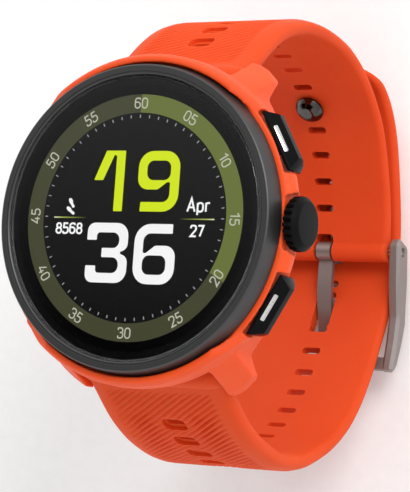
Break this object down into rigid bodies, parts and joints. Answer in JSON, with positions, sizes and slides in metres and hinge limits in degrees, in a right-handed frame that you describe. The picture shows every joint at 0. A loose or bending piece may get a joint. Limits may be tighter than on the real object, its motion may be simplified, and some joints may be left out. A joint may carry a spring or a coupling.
{
  "type": "gps running watch",
  "caption": "Round sports watch with a glass-fronted digital dial, a crown between two push buttons, and a closed slotted silicone strap with a pin buckle.",
  "frame": {"origin": "centre of the sensor window's flat, on the dial's axis, where the watch rests on the wrist", "axes": "+Z out of the dial, +Y towards 12 o'clock, +X towards 3 o'clock, the crown's side"},
  "size_m": [0.0474, 0.0663, 0.066],
  "materials": {
    "case_polymer": "satin moulded orange polymer",
    "strap_silicone": "matte moulded orange silicone",
    "black_steel": "black coated, finely turned",
    "gunmetal_steel": "grey coated, satin",
    "bright_steel": "bare polished steel",
    "black_polymer": "matte black",
    "gloss_black": "polished black",
    "crystal_glass": "clear polished glass",
    "sensor_glass": "dark tinted glass",
    "seal_rubber": "matte black rubber",
    "circuit_board": "green solder mask",
    "gold_contact": "gold plated",
    "cell_foil": "foil pouch"
  },
  "bodies": {
    "case": {"case_shell": "case_polymer", "bezel_ring": "black_steel", "crystal": "crystal_glass", "crystal_gasket": "seal_rubber", "display_panel": "black_polymer", "display_flex": "gold_contact", "gnss_antenna_ring": "gold_contact", "inner_chassis": "black_polymer", "main_board": "circuit_board", "board_shield": "bright_steel", "battery": "cell_foil", "haptic_motor": "bright_steel", "case_back": "black_polymer", "case_back_seal": "seal_rubber", "case_back_screw_1": "bright_steel", "case_back_screw_2": "bright_steel", "case_back_screw_3": "bright_steel", "case_back_screw_4": "bright_steel", "sensor_window": "sensor_glass", "sensor_board": "circuit_board", "sensor_led_1": "bright_steel", "sensor_led_2": "bright_steel", "sensor_led_3": "bright_steel", "sensor_photodiode_1": "black_polymer", "sensor_photodiode_2": "black_polymer", "charge_contact_1": "gold_contact", "charge_contact_2": "gold_contact", "charge_contact_3": "gold_contact", "charge_contact_4": "gold_contact", "crown_tube": "bright_steel", "crown_switch": "black_polymer", "upper_button_seal": "seal_rubber", "upper_switch": "black_polymer", "lower_button_seal": "seal_rubber", "lower_switch": "black_polymer", "lug_bar_upper": "bright_steel", "lug_bar_lower": "bright_steel", "strap_upper": "strap_silicone", "strap_lower": "strap_silicone", "strap_stud": "gunmetal_steel"},
    "crown_plunger": {"crown_clip": "bright_steel"},
    "crown": {"crown_knob": "black_steel", "crown_stem": "bright_steel", "crown_seal": "seal_rubber"},
    "upper_button": {"upper_button_cap": "gloss_black", "upper_button_inlay": "bright_steel", "upper_button_stem": "bright_steel"},
    "lower_button": {"lower_button_cap": "gloss_black", "lower_button_inlay": "bright_steel", "lower_button_stem": "bright_steel"},
    "upper_lever": {"upper_release_lever": "bright_steel"},
    "lower_lever": {"lower_release_lever": "bright_steel"},
    "buckle": {"buckle_frame": "gunmetal_steel", "buckle_bar": "gunmetal_steel"},
    "tongue": {"buckle_tongue": "gunmetal_steel"},
    "haptic_rotor": {"haptic_weight": "gunmetal_steel"}
  },
  "joints": [
    {"name": "crown_press", "type": "slide", "parent": "case", "child": "crown_plunger", "axis": [-1, 0, 0], "range_m": [0, 0.0003], "stiffness_N_per_m": 2000, "springref_m": -0.0002},
    {"name": "crown_turn", "type": "hinge", "parent": "crown_plunger", "child": "crown", "pos_m": [0.022, 0, 0.0049], "axis": [1, 0, 0], "continuous": true},
    {"name": "upper_button_press", "type": "slide", "parent": "case", "child": "upper_button", "axis": [-0.8704, -0.4924, 0], "range_m": [0, 0.0004], "stiffness_N_per_m": 2000, "springref_m": -0.0002},
    {"name": "lower_button_press", "type": "slide", "parent": "case", "child": "lower_button", "axis": [-0.8704, 0.4924, 0], "range_m": [0, 0.0004], "stiffness_N_per_m": 2000, "springref_m": -0.0002},
    {"name": "upper_lever_slide", "type": "slide", "parent": "case", "child": "upper_lever", "axis": [1, 0, 0], "range_m": [0, 0.0012], "stiffness_N_per_m": 500, "springref_m": -0.0004},
    {"name": "lower_lever_slide", "type": "slide", "parent": "case", "child": "lower_lever", "axis": [1, 0, 0], "range_m": [0, 0.0012], "stiffness_N_per_m": 500, "springref_m": -0.0004},
    {"name": "buckle_swing", "type": "hinge", "parent": "case", "child": "buckle", "pos_m": [0, 0.0023, -0.0506], "axis": [1, 0, 0], "range_deg": [0, 2]},
    {"name": "tongue_swing", "type": "hinge", "parent": "buckle", "child": "tongue", "pos_m": [0, 0.0023, -0.0506], "axis": [1, 0, 0], "range_deg": [0, 2]},
    {"name": "haptic_spin", "type": "hinge", "parent": "case", "child": "haptic_rotor", "pos_m": [0.0035, -0.0135, 0.0053], "axis": [1, 0, 0], "continuous": true}
  ]
}
